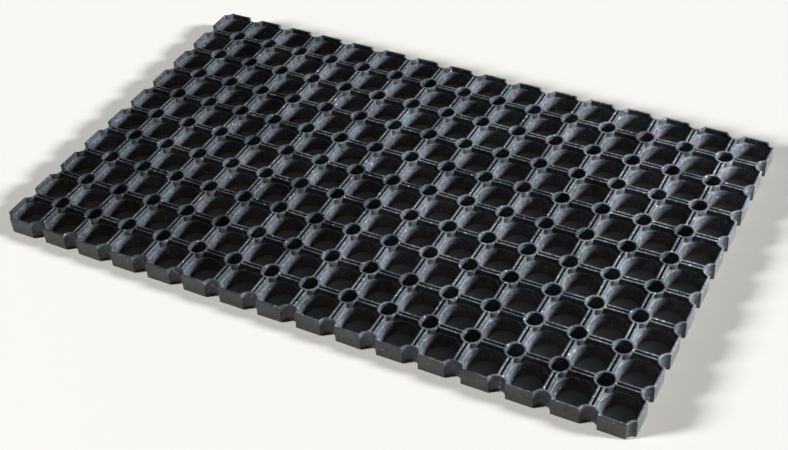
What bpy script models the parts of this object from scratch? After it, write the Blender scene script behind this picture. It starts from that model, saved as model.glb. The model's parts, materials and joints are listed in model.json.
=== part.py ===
"""Hollow rubber door mat: a moulded grid of octagonal cells with a round drain hole at every cell corner.

The moulding flexes along the grooves between its columns of cells, so each column is one solid, and
neighbouring columns meet at a bend line. The mat lies on Z = 0, its long side runs along X and its short
side along Y, and the origin is under its middle. Metres throughout.
"""
import math

import bmesh
import bpy
from mathutils import Matrix, Vector

# Grid of cells
PITCH = 0.050            # from one drain hole to the next, both ways
COLUMNS = 16             # cells along X
ROWS = 10                # cells along Y
HEIGHT = 0.022           # floor to tread

# Walls between cells
GROOVE_WIDTH = 0.0024    # open groove between the rims of two neighbouring cells
GROOVE_DEPTH = 0.006     # from the tread down to the bend line
RIM_WIDTH = 0.0025       # rim of one cell
JOINT_GAP = 0.0003       # between two columns below the groove

# Openings
HOLE_RADIUS = 0.0096     # drain hole, to its corners
RING_RADIUS = 0.0123     # outside of the ring round a drain hole
LEDGE_HEIGHT = 0.0152    # foot of a cell's upright walls
LEDGE_DROP = 0.0007      # fall of the narrow ledge from the walls to the bore
BORE_TOP = 0.0202        # bore under the ledge, to its flats
BORE_FLOOR = 0.0171      # bore at the floor, to its flats
HOLE_SIDES = 8

RUBBER_COLOUR = (0.018, 0.018, 0.020, 1.0)
RUBBER_ROUGHNESS = 0.55

FULL_TURN = 360
HALF_TURN = 180
QUARTER_TURN = 90
SIDE_TURN = FULL_TURN // HOLE_SIDES
FIRST_CORNER = QUARTER_TURN + SIDE_TURN
SIDE_SLOPE = math.tan(math.radians(SIDE_TURN / 2))
EDGE_INSET = GROOVE_WIDTH / 2
BEND_HEIGHT = HEIGHT - GROOVE_DEPTH


def clear_scene():
    for item in list(bpy.data.objects):
        bpy.data.objects.remove(item, do_unlink=True)


def rubber_material(name):
    material = bpy.data.materials.new(name)
    material.use_nodes = True
    shader = material.node_tree.nodes["Principled BSDF"]
    shader.inputs["Base Color"].default_value = RUBBER_COLOUR
    shader.inputs["Roughness"].default_value = RUBBER_ROUGHNESS
    shader.inputs["Metallic"].default_value = 0.0
    return material


def turned(point, degrees):
    return Matrix.Rotation(math.radians(degrees), 2) @ Vector(point)


def notch(node, start_turn, end_turn, enter, leave):
    """The part of a drain hole that lies inside a column, from the straight edge before it to the next one.

    start_turn and end_turn say how far round the column those two edges are, in degrees from the front edge,
    and enter and leave are how far they lie inside the lines through the hole centres.
    """
    first = turned((-(HOLE_RADIUS - enter * SIDE_SLOPE), enter), start_turn)
    last = turned((-leave, HOLE_RADIUS - leave * SIDE_SLOPE), end_turn)
    angles = range(start_turn + FIRST_CORNER, end_turn + FIRST_CORNER - 1, -SIDE_TURN)
    corners = [turned((HOLE_RADIUS, 0.0), angle) for angle in angles]
    points = [first, *corners, last]
    return [Vector(node) + point for point in points]


def column_outline(left_inset, right_inset):
    """Outline of one column seen from above, counter-clockwise, and which of its points end a straight edge."""
    half_width = PITCH / 2
    half_length = ROWS * PITCH / 2
    rows = [row * PITCH - half_length for row in range(1, ROWS)]
    front, right, back, left = 0, QUARTER_TURN, HALF_TURN, HALF_TURN + QUARTER_TURN
    notches = [notch((half_width, -half_length), front, front, EDGE_INSET, right_inset)]
    for y in rows:
        notches.append(notch((half_width, y), right, front, right_inset, right_inset))
    notches.append(notch((half_width, half_length), right, right, right_inset, EDGE_INSET))
    notches.append(notch((-half_width, half_length), back, back, EDGE_INSET, left_inset))
    for y in reversed(rows):
        notches.append(notch((-half_width, y), left, back, left_inset, left_inset))
    notches.append(notch((-half_width, -half_length), left, left, left_inset, EDGE_INSET))
    outline = []
    for points in notches:
        for index, point in enumerate(points):
            outline.append((point, index in (0, len(points) - 1)))
    return outline


def cell_outline(flat_distance, corner_distance):
    """Octagon with its four sides along X and Y at flat_distance and its corner sides at corner_distance."""
    reach = corner_distance * math.sqrt(2) - flat_distance
    points = []
    for turn in range(0, FULL_TURN, QUARTER_TURN):
        points.append(turned((flat_distance, -reach), turn))
        points.append(turned((flat_distance, reach), turn))
    return points


def closed_pairs(items):
    return zip(items, items[1:] + items[:1])


def outer_walls(mesh, low, high):
    """Side faces of a column: upright up to the bend line, then sloping in to the groove's edge."""
    posts = []
    for (low_point, is_end), (high_point, _) in zip(low, high):
        post = [mesh.verts.new((*low_point, 0.0))]
        if is_end and (low_point - high_point).length > JOINT_GAP:
            post.append(mesh.verts.new((*low_point, BEND_HEIGHT)))
        post.append(mesh.verts.new((*high_point, HEIGHT)))
        posts.append(post)
    for post, following in closed_pairs(posts):
        if len(post) == 3 and len(following) == 3:
            for level in (0, 1):
                mesh.faces.new((post[level], following[level], following[level + 1], post[level + 1]))
        else:
            mesh.faces.new((post[0], *following, *reversed(post[1:])))
    return [post[0] for post in posts], [post[-1] for post in posts]


def cell_levels():
    """Height and outline of a cell at each change of section, from the tread down to the floor."""
    flat_distance = PITCH / 2 - GROOVE_WIDTH / 2 - RIM_WIDTH
    corner_distance = PITCH / math.sqrt(2) - RING_RADIUS
    walls = cell_outline(flat_distance, corner_distance)
    return [
        (HEIGHT, walls),
        (LEDGE_HEIGHT, walls),
        (LEDGE_HEIGHT - LEDGE_DROP, cell_outline(BORE_TOP, BORE_TOP)),
        (0.0, cell_outline(BORE_FLOOR, BORE_FLOOR)),
    ]


def cell_walls(mesh, centre_y):
    """Inside of one cell: upright walls, a narrow ledge at their foot and a bore that tapers to the floor."""
    loops = []
    for height, outline in cell_levels():
        loops.append([mesh.verts.new((point.x, point.y + centre_y, height)) for point in outline])
    for high, low in zip(loops, loops[1:]):
        for (low_a, high_a), (low_b, high_b) in closed_pairs(list(zip(low, high))):
            mesh.faces.new((low_b, low_a, high_a, high_b))
    return loops[-1], loops[0]


def flat_face(mesh, loops, normal):
    """Fill the face bounded by the first loop and pierced by the others."""
    edges = []
    for loop in loops:
        edges += [mesh.edges.get(pair) or mesh.edges.new(pair) for pair in closed_pairs(loop)]
    bmesh.ops.triangle_fill(mesh, use_beauty=True, edges=edges, normal=normal)


def column_mesh(name, left_is_edge, right_is_edge):
    """One column of cells. An edge column stands upright on its outer side, set in by half a groove."""
    low_left = EDGE_INSET if left_is_edge else JOINT_GAP / 2
    low_right = EDGE_INSET if right_is_edge else JOINT_GAP / 2
    mesh = bmesh.new()
    low_outline = column_outline(low_left, low_right)
    high_outline = column_outline(EDGE_INSET, EDGE_INSET)
    low, high = outer_walls(mesh, low_outline, high_outline)
    low_loops = [low]
    high_loops = [high]
    for row in range(ROWS):
        cell_low, cell_high = cell_walls(mesh, (row + 0.5 - ROWS / 2) * PITCH)
        low_loops.append(cell_low)
        high_loops.append(cell_high)
    flat_face(mesh, low_loops, (0.0, 0.0, -1.0))
    flat_face(mesh, high_loops, (0.0, 0.0, 1.0))
    bmesh.ops.recalc_face_normals(mesh, faces=mesh.faces)
    data = bpy.data.meshes.new(name)
    mesh.to_mesh(data)
    mesh.free()
    return data


def add_column(number, data):
    """Place a column with its origin on the bend line at its left side."""
    name = f"cell_column_{number:02d}"
    column = bpy.data.objects.new(name, data)
    bpy.context.collection.objects.link(column)
    column.location.x = (number - 1 - COLUMNS / 2) * PITCH
    column.location.z = BEND_HEIGHT
    data.materials.append(rubber_material(f"black_rubber_{number:02d}"))
    return column


def build():
    clear_scene()
    to_bend_line = Matrix.Translation((PITCH / 2, 0.0, -BEND_HEIGHT))
    for number in range(1, COLUMNS + 1):
        data = column_mesh(f"cell_column_{number:02d}", number == 1, number == COLUMNS)
        data.transform(to_bend_line)
        add_column(number, data)


build()
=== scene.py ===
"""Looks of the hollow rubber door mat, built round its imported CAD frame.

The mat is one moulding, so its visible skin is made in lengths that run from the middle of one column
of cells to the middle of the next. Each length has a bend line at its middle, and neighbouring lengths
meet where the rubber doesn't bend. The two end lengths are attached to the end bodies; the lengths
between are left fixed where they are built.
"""
import json
import math

import bmesh
import bpy
from mathutils import Matrix, Vector, noise


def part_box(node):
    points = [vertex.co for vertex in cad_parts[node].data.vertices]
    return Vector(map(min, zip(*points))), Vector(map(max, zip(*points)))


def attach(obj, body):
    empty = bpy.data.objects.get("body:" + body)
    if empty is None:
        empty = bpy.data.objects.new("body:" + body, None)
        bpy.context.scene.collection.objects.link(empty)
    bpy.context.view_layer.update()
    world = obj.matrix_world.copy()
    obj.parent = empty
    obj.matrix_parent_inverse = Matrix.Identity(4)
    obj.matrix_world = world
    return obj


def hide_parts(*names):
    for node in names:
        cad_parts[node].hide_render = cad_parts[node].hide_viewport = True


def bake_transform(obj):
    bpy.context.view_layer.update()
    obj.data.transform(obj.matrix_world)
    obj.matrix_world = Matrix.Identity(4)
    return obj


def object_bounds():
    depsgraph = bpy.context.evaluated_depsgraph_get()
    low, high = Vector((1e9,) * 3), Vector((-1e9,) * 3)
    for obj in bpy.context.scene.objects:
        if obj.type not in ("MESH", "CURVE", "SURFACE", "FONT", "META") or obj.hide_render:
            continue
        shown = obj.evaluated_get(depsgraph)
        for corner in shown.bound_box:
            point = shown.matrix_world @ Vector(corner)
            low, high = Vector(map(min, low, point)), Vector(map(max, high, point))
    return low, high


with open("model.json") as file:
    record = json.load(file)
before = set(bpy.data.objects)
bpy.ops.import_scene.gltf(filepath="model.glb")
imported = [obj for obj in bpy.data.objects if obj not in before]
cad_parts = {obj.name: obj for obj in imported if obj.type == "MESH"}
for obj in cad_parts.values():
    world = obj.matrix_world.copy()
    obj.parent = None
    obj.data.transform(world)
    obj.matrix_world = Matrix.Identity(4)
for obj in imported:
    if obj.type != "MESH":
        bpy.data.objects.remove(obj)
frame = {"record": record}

CAD_LOW, CAD_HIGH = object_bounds()

# Read from the frame
JOINTS = sorted(frame["record"]["behaviour"]["joints"], key=lambda joint: joint["pos_m"][0])
BEND_LINES = [joint["pos_m"][0] for joint in JOINTS]
PITCH = BEND_LINES[1] - BEND_LINES[0]
COLUMNS = len(BEND_LINES) + 1
ROWS = round((CAD_HIGH.y - CAD_LOW.y) / PITCH)
HEIGHT = CAD_HIGH.z
GROOVE_FLOOR = JOINTS[0]["pos_m"][2]
HALF_GROOVE = (COLUMNS * PITCH - (CAD_HIGH.x - CAD_LOW.x)) / 2
HALF_PITCH = PITCH / 2

# Section of the walls, metres
RIM_WIDTH = 0.0025
HOLE_RADIUS = 0.0096
RING_RADIUS = 0.0123
BORE_RADIUS_TOP = 0.0207
BORE_RADIUS_FLOOR = 0.0176
LEDGE_HEIGHT = HEIGHT - 0.0068
LEDGE_DROP = 0.0007
LIP_ROUNDING = 0.0004
TOP_ROUNDING = 0.0006
FLOOR_ROUNDING = 0.0004
ROUNDING_STEPS = 3
ARC_STEPS = 6            # along a ring, between two walls
LINE_STEPS = 3           # along a wall, from a ring to the middle of the wall
BEND_REACH = 0.014       # how far either side of a bend line the rubber would curve; only used for a point that nothing reads
SHARP_ANGLE = 40         # edges that turn by more degrees than this stay sharp
WELD = 5e-6              # points closer than this are one point

# Unevenness of the moulding: (size, sideways reach), metres
WAVES = ((0.090, 0.0007), (0.024, 0.0003))
WAVE_UPWARD = 0.5        # how far the tread moves up and down, as a share of how far it moves sideways
WAVE_SEED = 16           # fixes where the waves fall, so that every run makes the same mat

WALL_SIDE = HALF_GROOVE + RIM_WIDTH


# ---------------------------------------------------------------- shape

def degrees_at(offset, radius):
    """Angle at which a circle round a drain hole is that far from the hole's centre line."""
    return math.degrees(math.asin(offset / radius))


def polar(radius, angle):
    return Vector((radius * math.cos(math.radians(angle)), radius * math.sin(math.radians(angle))))


def swapped(points):
    return [Vector((point.y, point.x)) for point in points]


def steps(start, end, count):
    return [start + (end - start) * index / count for index in range(count + 1)]


def rounding(radius, edge, inward):
    """(offset into the rubber, height) round a rounded edge, from the flat face to the upright wall."""
    levels = []
    for index in range(ROUNDING_STEPS + 1):
        angle = math.radians(90 - 90 * index / ROUNDING_STEPS)
        levels.append((radius * (1 - math.cos(angle)), edge + inward * radius * (1 - math.sin(angle))))
    return levels


TOP_LEVELS = rounding(TOP_ROUNDING, HEIGHT, -1)
FLOOR_LEVELS = rounding(FLOOR_ROUNDING, 0.0, 1)[::-1]


def side_angles(offset, radius, closed):
    """Angles of the first points round a drain hole, from the wall's middle or edge to its cell side."""
    top_radius = RING_RADIUS - TOP_ROUNDING
    middle = degrees_at(HALF_GROOVE + RIM_WIDTH / 2, top_radius)
    cell_side = degrees_at(WALL_SIDE - TOP_ROUNDING, top_radius)
    groove_side = degrees_at(HALF_GROOVE + TOP_ROUNDING, top_radius)
    if closed:
        edge = degrees_at(HALF_GROOVE + offset, radius)
        return [edge, (groove_side + middle * 2) / 3, middle, cell_side]
    return [0.0, groove_side, middle, cell_side]


def round_angles(offset, radius, u_closed, v_closed):
    """Angles of all points round a quarter of a drain hole."""
    first = side_angles(offset, radius, v_closed)
    last = [90 - angle for angle in reversed(side_angles(offset, radius, u_closed))]
    between = steps(first[-1], last[0], ARC_STEPS)[1:-1]
    return first + between + last


def hole_contour(offset, u_closed, v_closed):
    radius = HOLE_RADIUS + offset
    return [polar(radius, angle) for angle in round_angles(offset, radius, u_closed, v_closed)]


def ring_contour(u_closed, v_closed):
    """Outside of the flat top of a ring; its end points lie on the mat's edge where that is closed."""
    radius = RING_RADIUS - TOP_ROUNDING
    return [polar(radius, angle) for angle in round_angles(TOP_ROUNDING, radius, u_closed, v_closed)]


def wall_line(start, side):
    """Points along a wall, from its ring to its middle, side away from its centre line."""
    return [Vector((u, side)) for u in steps(start, HALF_PITCH, LINE_STEPS)]


def cell_contour(offset):
    """Quarter of a cell's opening: half a wall, the ring at its corner and half the next wall."""
    radius = RING_RADIUS - offset
    side = WALL_SIDE - offset
    angle = degrees_at(side, radius)
    line = wall_line(radius * math.cos(math.radians(angle)), side)
    arc = [polar(radius, step) for step in steps(angle, 90 - angle, ARC_STEPS)]
    return line[:0:-1] + arc + swapped(line[1:])


def groove_contour(offset):
    """Half of the end of a groove and its side, from the ring to the middle of the wall."""
    radius = RING_RADIUS - offset
    side = HALF_GROOVE + offset
    angle = degrees_at(side, radius)
    return [polar(radius, 0.0)] + wall_line(radius * math.cos(math.radians(angle)), side)


def edge_contour(offset):
    """The mat's outer face, from a drain hole's end to the middle of the wall."""
    hole = HOLE_RADIUS + offset
    ring = RING_RADIUS - offset
    side = HALF_GROOVE + offset
    corner = polar(hole, degrees_at(side, hole))
    return [corner] + wall_line(ring * math.cos(math.radians(degrees_at(side, ring))), side)


def at(points, height):
    return [Vector((point.x, point.y, height)) for point in points]


def halfway(first, second):
    return [a.lerp(b, 0.5) for a, b in zip(first, second)]


class Skin:
    """Collects the faces of one length of the mat, given in one quarter round a drain hole."""

    def __init__(self):
        self.mesh = bmesh.new()
        self.node = Vector((0.0, 0.0))
        self.turn = Vector((1.0, 1.0))

    def vertex(self, point):
        return self.mesh.verts.new(
            (self.node.x + self.turn.x * point.x, self.node.y + self.turn.y * point.y, point.z)
        )

    def grid(self, rows):
        made = [[self.vertex(point) for point in row] for row in rows]
        for row, following in zip(made, made[1:]):
            for a, b, c, d in zip(row, row[1:], following[1:], following):
                self.mesh.faces.new((a, b, c, d))

    def face(self, points):
        self.mesh.faces.new([self.vertex(point) for point in points])


def bore_directions():
    centre = Vector((HALF_PITCH, HALF_PITCH))
    return [(point - centre).normalized() for point in cell_contour(0.0)]


def bore_contour(radius):
    centre = Vector((HALF_PITCH, HALF_PITCH))
    return [centre + direction * radius for direction in bore_directions()]


def bore_rows():
    """The ledge under a cell's walls, its lip, and the round bore down to the floor."""
    ledge_lip = LEDGE_HEIGHT - LEDGE_DROP
    ledge = halfway(cell_contour(0.0), bore_contour(BORE_RADIUS_TOP + LIP_ROUNDING))
    rows = [at(ledge, LEDGE_HEIGHT - LEDGE_DROP / 2)]
    for offset, height in rounding(LIP_ROUNDING, ledge_lip, -1):
        rows.append(at(bore_contour(BORE_RADIUS_TOP + offset), height))
    for offset, height in FLOOR_LEVELS:
        rows.append(at(bore_contour(BORE_RADIUS_FLOOR + offset), height))
    return rows


def cell_rows():
    rows = [at(cell_contour(offset), height) for offset, height in TOP_LEVELS]
    rows.append(at(cell_contour(0.0), LEDGE_HEIGHT))
    return rows + bore_rows()


def groove_rows():
    rows = [at(groove_contour(offset), height) for offset, height in TOP_LEVELS]
    rows.append(at(groove_contour(0.0), GROOVE_FLOOR))
    return rows


def edge_rows():
    return [at(edge_contour(offset), height) for offset, height in TOP_LEVELS + FLOOR_LEVELS]


def turned_rows(rows):
    """The same rows for the wall that runs along the other axis."""
    return [[Vector((point.y, point.x, point.z)) for point in row] for row in rows]


def add_wall_top(skin, closed, other):
    """Flat top of half a wall's rim, and the groove or the outer face beside it; other is the other axis."""
    top_radius = RING_RADIUS - TOP_ROUNDING
    angles = side_angles(TOP_ROUNDING, top_radius, closed)
    if not closed:
        angles = angles[1:]
    rows = []
    for angle in angles:
        start = polar(top_radius, angle)
        rows.append(at(wall_line(start.x, start.y), HEIGHT))
    groove = edge_rows() if closed else groove_rows()
    floor = []
    if not closed:
        side = groove_rows()[-1][1:]
        middle = [Vector((point.x, 0.0, point.z)) for point in side]
        middle[0].x = RING_RADIUS
        floor = [side, middle]
    for part in (rows, groove, floor):
        skin.grid(turned_rows(part) if other else part)


def bottom_rows(u_closed, v_closed):
    hole = at(hole_contour(FLOOR_ROUNDING, u_closed, v_closed), 0.0)
    bore = at(bore_contour(BORE_RADIUS_FLOOR + FLOOR_ROUNDING), 0.0)
    return [hole, halfway(hole, bore), bore]


def add_bottom(skin, u_closed, v_closed):
    rows = bottom_rows(u_closed, v_closed)
    skin.grid(rows)
    for other, closed, index in ((False, v_closed, 0), (True, u_closed, -1)):
        slant = [row[index] for row in rows]
        if closed:
            outer = at(edge_contour(FLOOR_ROUNDING), 0.0)
        else:
            outer = at([Vector((HOLE_RADIUS + FLOOR_ROUNDING, 0.0)), Vector((HALF_PITCH, 0.0))], 0.0)
        if other:
            outer = at(swapped(outer), 0.0)
        skin.face(outer + slant[:0:-1])


def add_quarter(skin, u_closed, v_closed):
    """A quarter of the mat round one drain hole, as far as the middle of its two cell walls."""
    hole = [at(hole_contour(o, u_closed, v_closed), z) for o, z in TOP_LEVELS + FLOOR_LEVELS]
    skin.grid(hole)
    skin.grid([hole[0], at(ring_contour(u_closed, v_closed), HEIGHT)])
    skin.grid(cell_rows())
    add_wall_top(skin, v_closed, False)
    add_wall_top(skin, u_closed, True)
    add_bottom(skin, u_closed, v_closed)


def add_cut(skin, v_closed):
    """Closes the section in the middle of a wall, where one length of the mat meets the next."""
    top_radius = RING_RADIUS - TOP_ROUNDING
    angles = side_angles(TOP_ROUNDING, top_radius, v_closed)[0 if v_closed else 1:]
    section = [row[0] for row in reversed(cell_rows())]
    top = [Vector((HALF_PITCH, polar(top_radius, angle).y, HEIGHT)) for angle in reversed(angles)]
    section += top[1:]
    outside = edge_rows() if v_closed else groove_rows()
    section += [row[-1] for row in outside[1:]]
    if not v_closed:
        section.append(Vector((HALF_PITCH, 0.0, GROOVE_FLOOR)))
        section.append(Vector((HALF_PITCH, 0.0, 0.0)))
    skin.face(section)


def uneven(place):
    """Where a point of the perfect grid lies on the real moulding. The underside stays flat."""
    share = place.z / HEIGHT
    moved = place.copy()
    for size, reach in WAVES:
        wave = noise.noise_vector(place / size) * reach
        moved += Vector((wave.x, wave.y, wave.z * share * WAVE_UPWARD))
    return moved


def hole_distance(place):
    """How far a point is from the axis of the nearest drain hole."""
    x = place.x - round(place.x / PITCH) * PITCH
    y = place.y - round(place.y / PITCH) * PITCH
    return math.hypot(x, y)


def mat_length(name, line):
    """Mesh of the length of the mat round bend line number line; 0 and COLUMNS are the mat's ends."""
    skin = Skin()
    for row in range(ROWS + 1):
        skin.node = Vector(((line - COLUMNS / 2) * PITCH, (row - ROWS / 2) * PITCH))
        for turn_x in (-1, 1):
            for turn_y in (-1, 1):
                outside_x = (line == 0 and turn_x < 0) or (line == COLUMNS and turn_x > 0)
                outside_y = (row == 0 and turn_y < 0) or (row == ROWS and turn_y > 0)
                if outside_x or outside_y:
                    continue
                skin.turn = Vector((turn_x, turn_y))
                u_closed = line in (0, COLUMNS)
                v_closed = row in (0, ROWS)
                add_quarter(skin, u_closed, v_closed)
                add_cut(skin, v_closed)
    mesh = skin.mesh
    bmesh.ops.remove_doubles(mesh, verts=mesh.verts, dist=WELD)
    bmesh.ops.recalc_face_normals(mesh, faces=mesh.faces)
    ledge = mesh.verts.layers.float.new(LEDGE_MASK)
    hole = mesh.verts.layers.float.new(HOLE_SHADE_MASK)
    outside = mesh.verts.layers.float.new(OUTSIDE_MASK)
    for vertex in mesh.verts:
        if LEDGE_HEIGHT - LEDGE_DROP - WELD < vertex.co.z < LEDGE_HEIGHT + WELD:
            vertex[ledge] = 1.0
        # marks the drain holes for painted shade
        if hole_distance(vertex.co) < HOLE_RADIUS + WELD:
            vertex[hole] = 1.0
        if abs(vertex.co.x) > CAD_HIGH.x - WELD or abs(vertex.co.y) > CAD_HIGH.y - WELD:
            vertex[outside] = 1.0
        vertex.co = uneven(vertex.co)
    data = bpy.data.meshes.new(name)
    mesh.to_mesh(data)
    mesh.free()
    return data


# ---------------------------------------------------------------- materials

MM = 0.001
REST_PLACE = "rest_place"          # each vertex's place at rest: the surface detail stays fixed to the rubber
LEDGE_MASK = "on_ledge"            # 1 on the ledge inside a cell, where dust settles
HOLE_SHADE_MASK = "in_hole"              # 1 inside a drain hole, where the rubber is made darker: painted shade in the hole
OUTSIDE_MASK = "on_outside"        # 1 on the mat's outer faces, which wear a film of dry dirt

RUBBER_LAVENDER = (0.078, 0.068, 0.088, 1.0)
RUBBER_TEAL = (0.054, 0.073, 0.078, 1.0)
FILM_DUST = (0.086, 0.087, 0.076, 1.0)
TREAD_DUST = (0.220, 0.230, 0.220, 1.0)
FOOT_DUST = (0.098, 0.077, 0.046, 1.0)
SCUFF = (0.66, 0.67, 0.65, 1.0)
FLOOR_COLOUR = (0.300, 0.295, 0.284, 1.0)
FLOOR_ROUGHNESS = 0.8

# Sizes of the patches and marks
TINT_SIZE = 13 * MM
MOTTLE_SIZE = 4.5 * MM
PATCH_SIZE = 45 * MM
DUST_PATCH_SIZE = 32 * MM
FILM_SIZE = 9 * MM
BROKEN_DUST_SIZE = 3.2 * MM
SCUFF_SIZE = 4.5 * MM
SCUFF_GRAIN_SIZE = 0.8 * MM
GRAIN_SIZE = 0.35 * MM
RIPPLE_SIZE = 5 * MM
STREAK_WIDTH = 0.9 * MM
STREAK_STRETCH = 0.08              # how much coarser a streak is along the wall's height than across it

# Ranges: noise (or height, metres) from and to, then what those become
TINT = (0.35, 0.65)
MOTTLE = (0.32, 0.68, 0.40, 1.70)              # brightness of the rubber
PATCHES = (0.3, 0.7, 0.52, 1.48)
STREAKS = (0.3, 0.7, 0.88, 1.12)
# painted shade: brightness of the rubber inside the drain holes is cut to 0.9
IN_HOLE_SHADE = (0.0, 1.0, 1.0, 0.90)
FILM = (0.36, 0.66, 0.10, 0.85)                # how much of the colour is dust or dirt
FOOT = (2 * MM, 12 * MM, 0.90, 0.0)
FOOT_PATCHES = (0.40, 0.60, 0.0, 1.0)
TREAD = (HEIGHT - TOP_ROUNDING * 1.5, HEIGHT - TOP_ROUNDING * 0.5)
TREAD_BROKEN = (0.36, 0.66, 0.0, 1.0)
TREAD_PATCHES = (0.44, 0.60, 0.03, 1.0)
LEDGE_FROM = (LEDGE_HEIGHT - LEDGE_DROP * 2, LEDGE_HEIGHT - LEDGE_DROP)
LEDGE_TO = (LEDGE_HEIGHT + 0.2 * MM, LEDGE_HEIGHT + 0.6 * MM, 1.0, 0.0)
LEDGE_BROKEN = (0.35, 0.65, 0.10, 0.70)
SCUFFS = (0.66, 0.74)
SCUFFS_OFF_TREAD = (0.0, 1.0, 0.07, 0.0)       # scuffs are rarer away from the tread
SCUFF_GRAIN = (0.38, 0.58, 0.15, 1.0)
GLOSS = (0.3, 0.7, 0.40, 0.56)                 # roughness of clean rubber
DUST_ROUGHNESS = 0.25                          # added to it where there is dust
SPECULAR_LEVEL = 0.27

# Heights of the relief, millimetres
RIPPLE_RELIEF = 0.30
MOTTLE_RELIEF = 0.16
STREAK_RELIEF = 0.05
GRAIN_RELIEF = 0.03


def new_material(name):
    material = bpy.data.materials.new(name)
    material.use_nodes = True
    return material, material.node_tree, material.node_tree.nodes["Principled BSDF"]


def add_node(tree, kind, inputs, output=0, **settings):
    """Adds a node and returns one of its outputs. inputs gives each socket a value or another socket."""
    node = tree.nodes.new(kind)
    for name, value in settings.items():
        setattr(node, name, value)
    for name, value in inputs.items():
        if isinstance(value, bpy.types.NodeSocket):
            tree.links.new(value, node.inputs[name])
        else:
            node.inputs[name].default_value = value
    return node.outputs[output]


def add_noise(tree, place, size, detail=2.0, roughness=0.5):
    inputs = {"Vector": place, "Scale": 1 / size, "Detail": detail, "Roughness": roughness}
    return add_node(tree, "ShaderNodeTexNoise", inputs)


def add_range(tree, value, low, high, to_low=0.0, to_high=1.0):
    inputs = {"Value": value, "From Min": low, "From Max": high, "To Min": to_low, "To Max": to_high}
    return add_node(tree, "ShaderNodeMapRange", inputs)


def add_product(tree, first, second):
    return add_node(tree, "ShaderNodeMath", {0: first, 1: second}, operation="MULTIPLY")


def add_larger(tree, first, second):
    return add_node(tree, "ShaderNodeMath", {0: first, 1: second}, operation="MAXIMUM")


def add_scaled(tree, value, scale, base):
    """base with value times scale added to it."""
    return add_node(tree, "ShaderNodeMath", {0: value, 1: scale, 2: base}, operation="MULTIPLY_ADD")


def add_mask(tree, name):
    return add_node(tree, "ShaderNodeAttribute", {}, output="Fac", attribute_name=name)


def add_mix(tree, factor, first, second):
    return add_node(
        tree, "ShaderNodeMix", {"Factor": factor, 6: first, 7: second}, output=2, data_type="RGBA"
    )


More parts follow.
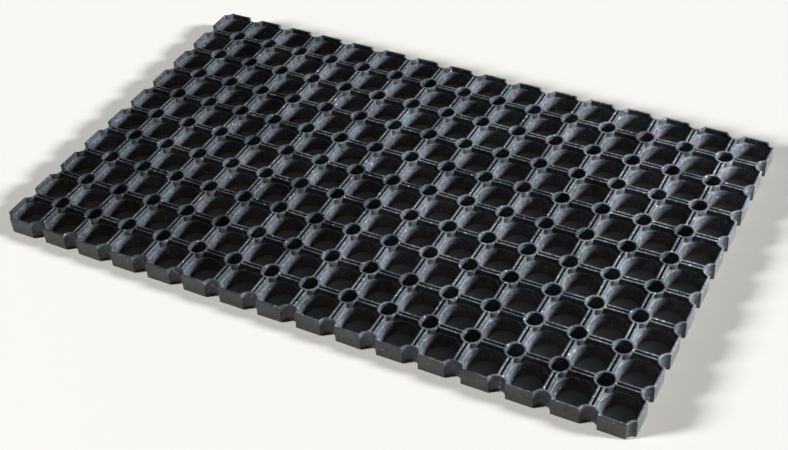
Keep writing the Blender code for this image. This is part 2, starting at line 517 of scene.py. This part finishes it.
def rubber_material():
    """Satin black rubber: mottled bloom, worn dusty rims, dirt at its foot, a few pale scuffs and painted
    shade inside the drain holes.
    """
    material, tree, shader = new_material("black_rubber")
    place = add_node(tree, "ShaderNodeAttribute", {}, output="Vector", attribute_name=REST_PLACE)
    height = add_node(tree, "ShaderNodeSeparateXYZ", {"Vector": place}, output="Z")
    streaked = add_node(
        tree, "ShaderNodeVectorMath", {0: place, 1: (1.0, 1.0, STREAK_STRETCH)}, operation="MULTIPLY"
    )
    tint = add_noise(tree, place, TINT_SIZE, detail=2.0, roughness=0.6)
    mottle = add_noise(tree, place, MOTTLE_SIZE, detail=7.0, roughness=0.72)
    patch = add_noise(tree, place, PATCH_SIZE)
    broken = add_noise(tree, place, BROKEN_DUST_SIZE, detail=3.0)
    dust_patch = add_noise(tree, place, DUST_PATCH_SIZE, detail=3.0)
    film_noise = add_noise(tree, place, FILM_SIZE, detail=4.0, roughness=0.65)
    scuff_noise = add_noise(tree, place, SCUFF_SIZE, detail=1.0)
    scuff_grain = add_noise(tree, place, SCUFF_GRAIN_SIZE, detail=4.0, roughness=0.7)
    streak = add_noise(tree, streaked, STREAK_WIDTH)

    tread = add_range(tree, height, *TREAD)
    on_ledge = add_mask(tree, LEDGE_MASK)
    ledge = add_product(tree, add_range(tree, height, *LEDGE_FROM), add_range(tree, height, *LEDGE_TO))
    ledge = add_product(tree, ledge, on_ledge)
    foot = add_range(tree, height, *FOOT)

    rubber = add_mix(tree, add_range(tree, tint, *TINT), RUBBER_LAVENDER, RUBBER_TEAL)
    brightness = add_product(tree, add_range(tree, mottle, *MOTTLE), add_range(tree, patch, *PATCHES))
    brightness = add_product(tree, brightness, add_range(tree, streak, *STREAKS))
    # painted shade: the rubber inside the drain holes is made darker
    brightness = add_product(tree, brightness, add_range(tree, add_mask(tree, HOLE_SHADE_MASK), *IN_HOLE_SHADE))
    colour = add_node(
        tree, "ShaderNodeVectorMath", {0: rubber, "Scale": brightness}, operation="SCALE"
    )
    film = add_product(tree, add_range(tree, film_noise, *FILM), add_mask(tree, OUTSIDE_MASK))
    colour = add_mix(tree, film, colour, FILM_DUST)
    dirt = add_product(tree, foot, add_range(tree, broken, *FOOT_PATCHES))
    colour = add_mix(tree, dirt, colour, FOOT_DUST)
    dusty = add_product(
        tree, add_range(tree, broken, *TREAD_BROKEN), add_range(tree, dust_patch, *TREAD_PATCHES)
    )
    dust = add_product(tree, tread, dusty)
    dust = add_larger(tree, dust, add_product(tree, ledge, add_range(tree, broken, *LEDGE_BROKEN)))
    colour = add_mix(tree, dust, colour, TREAD_DUST)
    off_tread = add_range(tree, tread, *SCUFFS_OFF_TREAD)
    scuffed = add_node(tree, "ShaderNodeMath", {0: scuff_noise, 1: off_tread}, operation="SUBTRACT")
    scuffs = add_product(
        tree, add_range(tree, scuffed, *SCUFFS), add_range(tree, scuff_grain, *SCUFF_GRAIN)
    )
    colour = add_mix(tree, scuffs, colour, SCUFF)
    tree.links.new(colour, shader.inputs["Base Color"])

    roughness = add_scaled(tree, dust, DUST_ROUGHNESS, add_range(tree, mottle, *GLOSS))
    tree.links.new(roughness, shader.inputs["Roughness"])

    grain = add_noise(tree, place, GRAIN_SIZE, detail=3.0)
    ripple = add_noise(tree, place, RIPPLE_SIZE, detail=1.0)
    relief = add_scaled(tree, ripple, RIPPLE_RELIEF, 0.0)
    for source, depth in ((mottle, MOTTLE_RELIEF), (streak, STREAK_RELIEF), (grain, GRAIN_RELIEF)):
        relief = add_scaled(tree, source, depth, relief)
    bump = add_node(tree, "ShaderNodeBump", {"Height": relief, "Distance": MM, "Strength": 1.0})
    tree.links.new(bump, shader.inputs["Normal"])
    shader.inputs["Specular IOR Level"].default_value = SPECULAR_LEVEL
    return material


def floor_material():
    material, _, shader = new_material("pale_floor")
    shader.inputs["Base Color"].default_value = FLOOR_COLOUR
    shader.inputs["Roughness"].default_value = FLOOR_ROUGHNESS
    return material


# ---------------------------------------------------------------- pieces

def add_piece(name, data, material):
    piece = bpy.data.objects.new(name, data)
    bpy.context.scene.collection.objects.link(piece)
    data.materials.append(material)
    data.shade_smooth()
    data.set_sharp_from_angle(angle=math.radians(SHARP_ANGLE))
    places = data.attributes.new(REST_PLACE, "FLOAT_VECTOR", "POINT")
    for vertex in data.vertices:
        places.data[vertex.index].vector = vertex.co
    weighted = piece.modifiers.new("even_shading", "WEIGHTED_NORMAL")
    weighted.keep_sharp = True
    return piece


def bodies_and_nodes():
    """Bodies and their CAD nodes, from the mat's left end to its right end."""
    body_of = {}
    for body, nodes in frame["record"]["behaviour"]["bodies"].items():
        for node in nodes:
            body_of[node] = body
    ordered = sorted(body_of, key=lambda node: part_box(node)[0].x)
    return [body_of[node] for node in ordered], ordered


def build_mat():
    material = rubber_material()
    noise.seed_set(WAVE_SEED)
    bodies, nodes = bodies_and_nodes()
    pieces = []
    for line in range(COLUMNS + 1):
        name = f"rubber_over_bend_{line:02d}"
        if line == 0:
            name = "rubber_left_end"
        elif line == COLUMNS:
            name = "rubber_right_end"
        piece = add_piece(name, mat_length(name, line), material)
        pieces.append(piece)
        if line in (0, COLUMNS):
            end = min(line, COLUMNS - 1)
            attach(piece, bodies[end])
            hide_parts(nodes[end])
        else:
            x = BEND_LINES[line - 1]
            end = (x + BEND_REACH, 0.0, GROOVE_FLOOR)
            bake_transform(piece)
            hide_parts(nodes[line - 1], nodes[line])
    return pieces


# ---------------------------------------------------------------- stage

CAMERA_TARGET = Vector((0.0412, -0.0738, 0.022))
CAMERA_AZIMUTH = 30.47
CAMERA_ELEVATION = 40.54
CAMERA_ROLL = -4.424
CAMERA_DISTANCE = 1.570
CAMERA_LENS = 61.58
SENSOR_WIDTH = 36.0
CLIP_RANGE = (0.05, 50.0)


def add_camera():
    azimuth, elevation = math.radians(CAMERA_AZIMUTH), math.radians(CAMERA_ELEVATION)
    back = Vector((
        math.sin(azimuth) * math.cos(elevation),
        -math.cos(azimuth) * math.cos(elevation),
        math.sin(elevation),
    ))
    data = bpy.data.cameras.new("camera")
    data.lens = CAMERA_LENS
    data.sensor_width = SENSOR_WIDTH
    data.clip_start, data.clip_end = CLIP_RANGE
    camera = bpy.data.objects.new("camera", data)
    bpy.context.scene.collection.objects.link(camera)
    turn = (-back).to_track_quat("-Z", "Y").to_matrix().to_4x4()
    roll = Matrix.Rotation(math.radians(CAMERA_ROLL), 4, "Z")
    place = Matrix.Translation(CAMERA_TARGET + back * CAMERA_DISTANCE)
    camera.matrix_world = place @ turn @ roll
    bpy.context.scene.camera = camera


def toward(azimuth, elevation):
    """Direction of a light, from +X toward +Y and up."""
    azimuth, elevation = math.radians(azimuth), math.radians(elevation)
    return Vector((
        math.cos(azimuth) * math.cos(elevation),
        math.sin(azimuth) * math.cos(elevation),
        math.sin(elevation),
    ))


def add_light(name, kind, direction, distance, lit):
    """A light aimed at the middle of the mat, which lights only the objects in the collection lit."""
    data = bpy.data.lights.new(name, kind)
    light = bpy.data.objects.new(name, data)
    bpy.context.scene.collection.objects.link(light)
    light.location = direction * distance
    light.rotation_euler = (-direction).to_track_quat("-Z", "Y").to_euler()
    light.light_linking.receiver_collection = lit
    return data


def add_area(name, direction, distance, size, power, colour, lit):
    data = add_light(name, "AREA", direction, distance, lit)
    data.shape = "RECTANGLE"
    data.size, data.size_y = size
    data.energy = power
    data.color = colour


def add_sun(name, direction, spread, strength, lit):
    data = add_light(name, "SUN", direction, SUN_DISTANCE, lit)
    data.angle = math.radians(spread)
    data.energy = strength


KEY_DIRECTION = toward(16.0, 22.0)
KEY_DISTANCE = 1.5
KEY_SIZE = (0.62, 0.23)
KEY_POWER = 60.0
KEY_COLOUR = (0.88, 0.95, 1.0)
FRONT_DIRECTION = toward(-60.0, 50.0)
FRONT_DISTANCE = 2.5
FRONT_SIZE = (2.0, 1.5)
FRONT_POWER = 4.0
FRONT_COLOUR = (1.0, 0.87, 0.72)
BACK_DIRECTION = toward(215.0, 18.0)
SUN_DISTANCE = 3.0
KEY_SUN = (10.0, 12.4)   # spread in degrees and strength of the floor's light, from the key's side
BACK_SUN = (12.0, 15.4)  # and from the side opposite
SKY_COLOUR = (0.92, 0.95, 1.0, 1.0)
SKY_STRENGTH = 0.046
FLOOR_SIZE = 60.0
FLOOR_GAP = 0.0003       # the floor lies this far below the mat
BACKDROP_RADIUS = 20.0
BACKDROP_COLOUR = (0.90, 0.89, 0.87, 1.0)
BLACK = (0.0, 0.0, 0.0, 1.0)


def collection_of(name, pieces):
    collection = bpy.data.collections.new(name)
    for piece in pieces:
        collection.objects.link(piece)
    return collection


def add_backdrop():
    """A pale dome, far off, which only the camera sees: it gives no light and casts no shadow."""
    bpy.ops.mesh.primitive_uv_sphere_add(radius=BACKDROP_RADIUS)
    dome = bpy.context.object
    dome.name = "backdrop"
    material, _, shader = new_material("pale_backdrop")
    shader.inputs["Base Color"].default_value = BLACK
    shader.inputs["Specular IOR Level"].default_value = 0.0
    shader.inputs["Emission Color"].default_value = BACKDROP_COLOUR
    shader.inputs["Emission Strength"].default_value = 1.0
    dome.data.materials.append(material)
    for ray in ("diffuse", "glossy", "transmission", "volume_scatter", "shadow"):
        setattr(dome, "visible_" + ray, False)


def add_stage(pieces):
    bpy.ops.mesh.primitive_plane_add(size=FLOOR_SIZE, location=(0.0, 0.0, -FLOOR_GAP))
    floor = bpy.context.object
    floor.name = "floor"
    floor.data.materials.append(floor_material())
    add_backdrop()
    world = bpy.data.worlds.new("studio")
    world.use_nodes = True
    background = world.node_tree.nodes["Background"]
    background.inputs["Color"].default_value = SKY_COLOUR
    background.inputs["Strength"].default_value = SKY_STRENGTH
    bpy.context.scene.world = world
    mat = collection_of("mat_only", pieces)
    add_area("key", KEY_DIRECTION, KEY_DISTANCE, KEY_SIZE, KEY_POWER, KEY_COLOUR, mat)
    add_area("front_fill", FRONT_DIRECTION, FRONT_DISTANCE, FRONT_SIZE, FRONT_POWER, FRONT_COLOUR, mat)
    ground = collection_of("floor_only", [floor])
    add_sun("key_on_floor", KEY_DIRECTION, *KEY_SUN, ground)
    add_sun("back_on_floor", BACK_DIRECTION, *BACK_SUN, ground)
    bpy.context.scene.view_settings.view_transform = "Standard"


add_camera()
add_stage(build_mat())
